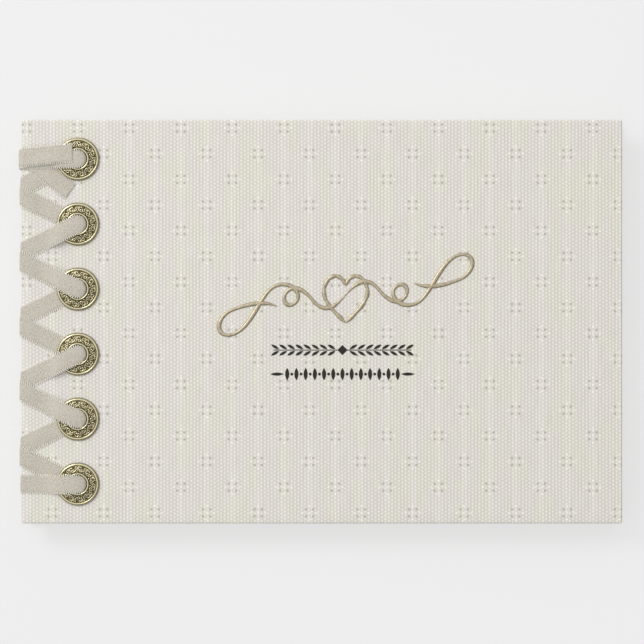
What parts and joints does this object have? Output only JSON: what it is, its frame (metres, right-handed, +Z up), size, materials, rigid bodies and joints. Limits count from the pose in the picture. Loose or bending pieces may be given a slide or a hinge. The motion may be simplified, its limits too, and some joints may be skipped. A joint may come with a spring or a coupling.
{
  "type": "wedding guest book",
  "caption": "Landscape guest book with cloth-covered boards, loose card leaves and a criss-cross ribbon laced through ornate brass eyelets along its spine side.",
  "frame": {"origin": "centre of the bounding box's bottom face, with the book lying closed on its back cover, front cover up", "axes": "+X from the laced spine to the fore-edge, +Y from tail to head, +Z up out of the front cover"},
  "size_m": [0.2364, 0.158, 0.0156],
  "materials": {
    "cover_cloth": "off-white woven jacquard book cloth",
    "grey_board": "matte grey binder's board",
    "lining_paper": "matte ivory paper",
    "leaf_card": "smooth matte card",
    "antique_brass": "antiqued, engraved and rubbed bright on the high spots",
    "satin_ribbon": "taupe satin with picot edges",
    "gold_relief": "champagne gold raised foil",
    "black_ink": "matte black transfer"
  },
  "bodies": {
    "binding": {"front_strip_board": "grey_board", "front_strip_cloth": "cover_cloth", "front_strip_lining": "lining_paper", "back_strip_board": "grey_board", "back_strip_cloth": "cover_cloth", "back_strip_lining": "lining_paper", "front_eyelet_1": "antique_brass", "front_eyelet_2": "antique_brass", "front_eyelet_3": "antique_brass", "front_eyelet_4": "antique_brass", "front_eyelet_5": "antique_brass", "front_eyelet_6": "antique_brass", "back_eyelet_1": "antique_brass", "back_eyelet_2": "antique_brass", "back_eyelet_3": "antique_brass", "back_eyelet_4": "antique_brass", "back_eyelet_5": "antique_brass", "back_eyelet_6": "antique_brass", "front_eyelet_washers": "antique_brass", "back_eyelet_washers": "antique_brass", "turning_leaf_stubs": "leaf_card", "leaf_block": "leaf_card", "lacing_ribbon": "satin_ribbon", "ribbon_knot": "satin_ribbon", "ribbon_tail_upper": "satin_ribbon", "ribbon_tail_lower": "satin_ribbon"},
    "front_cover": {"front_panel_board": "grey_board", "front_panel_cloth": "cover_cloth", "front_panel_lining": "lining_paper", "title_flourish": "gold_relief", "name_band": "black_ink", "date_band": "black_ink"},
    "back_cover": {"back_panel_board": "grey_board", "back_panel_cloth": "cover_cloth", "back_panel_lining": "lining_paper"},
    "front_flyleaf": {"front_flyleaf": "leaf_card"},
    "leaf_01": {"leaf_01": "leaf_card"},
    "leaf_02": {"leaf_02": "leaf_card"},
    "leaf_03": {"leaf_03": "leaf_card"},
    "leaf_04": {"leaf_04": "leaf_card"},
    "back_flyleaf": {"back_flyleaf": "leaf_card"},
    "leaf_22": {"leaf_22": "leaf_card"},
    "leaf_21": {"leaf_21": "leaf_card"},
    "leaf_20": {"leaf_20": "leaf_card"},
    "leaf_19": {"leaf_19": "leaf_card"}
  },
  "joints": [
    {"name": "front_cover_hinge", "type": "hinge", "parent": "binding", "child": "front_cover", "pos_m": [-0.0823, 0, 0.01313], "axis": [0, -1, 0], "range_deg": [0, 160]},
    {"name": "back_cover_hinge", "type": "hinge", "parent": "binding", "child": "back_cover", "pos_m": [-0.0823, 0, 0.0012], "axis": [0, 1, 0], "range_deg": [0, 160]},
    {"name": "front_flyleaf_turn", "type": "hinge", "parent": "binding", "child": "front_flyleaf", "pos_m": [-0.0708, 0, 0.01027], "axis": [0, -1, 0], "range_deg": [0, 120]},
    {"name": "leaf_01_turn", "type": "hinge", "parent": "binding", "child": "leaf_01", "pos_m": [-0.0708, 0, 0.01], "axis": [0, -1, 0], "range_deg": [0, 100]},
    {"name": "leaf_02_turn", "type": "hinge", "parent": "binding", "child": "leaf_02", "pos_m": [-0.0708, 0, 0.00973], "axis": [0, -1, 0], "range_deg": [0, 80]},
    {"name": "leaf_03_turn", "type": "hinge", "parent": "binding", "child": "leaf_03", "pos_m": [-0.0708, 0, 0.00946], "axis": [0, -1, 0], "range_deg": [0, 60]},
    {"name": "leaf_04_turn", "type": "hinge", "parent": "binding", "child": "leaf_04", "pos_m": [-0.0708, 0, 0.00919], "axis": [0, -1, 0], "range_deg": [0, 40]},
    {"name": "back_flyleaf_turn", "type": "hinge", "parent": "binding", "child": "back_flyleaf", "pos_m": [-0.0708, 0, 0.00406], "axis": [0, 1, 0], "range_deg": [0, 120]},
    {"name": "leaf_22_turn", "type": "hinge", "parent": "binding", "child": "leaf_22", "pos_m": [-0.0708, 0, 0.00433], "axis": [0, 1, 0], "range_deg": [0, 100]},
    {"name": "leaf_21_turn", "type": "hinge", "parent": "binding", "child": "leaf_21", "pos_m": [-0.0708, 0, 0.0046], "axis": [0, 1, 0], "range_deg": [0, 80]},
    {"name": "leaf_20_turn", "type": "hinge", "parent": "binding", "child": "leaf_20", "pos_m": [-0.0708, 0, 0.00487], "axis": [0, 1, 0], "range_deg": [0, 60]},
    {"name": "leaf_19_turn", "type": "hinge", "parent": "binding", "child": "leaf_19", "pos_m": [-0.0708, 0, 0.00514], "axis": [0, 1, 0], "range_deg": [0, 40]}
  ],
  "couplings": [
    {"joint": "front_flyleaf_turn", "follows": "front_cover_hinge", "ratio": 0.75},
    {"joint": "leaf_01_turn", "follows": "front_cover_hinge", "ratio": 0.625},
    {"joint": "leaf_02_turn", "follows": "front_cover_hinge", "ratio": 0.5},
    {"joint": "leaf_03_turn", "follows": "front_cover_hinge", "ratio": 0.375},
    {"joint": "leaf_04_turn", "follows": "front_cover_hinge", "ratio": 0.25},
    {"joint": "back_flyleaf_turn", "follows": "back_cover_hinge", "ratio": 0.75},
    {"joint": "leaf_22_turn", "follows": "back_cover_hinge", "ratio": 0.625},
    {"joint": "leaf_21_turn", "follows": "back_cover_hinge", "ratio": 0.5},
    {"joint": "leaf_20_turn", "follows": "back_cover_hinge", "ratio": 0.375},
    {"joint": "leaf_19_turn", "follows": "back_cover_hinge", "ratio": 0.25}
  ]
}
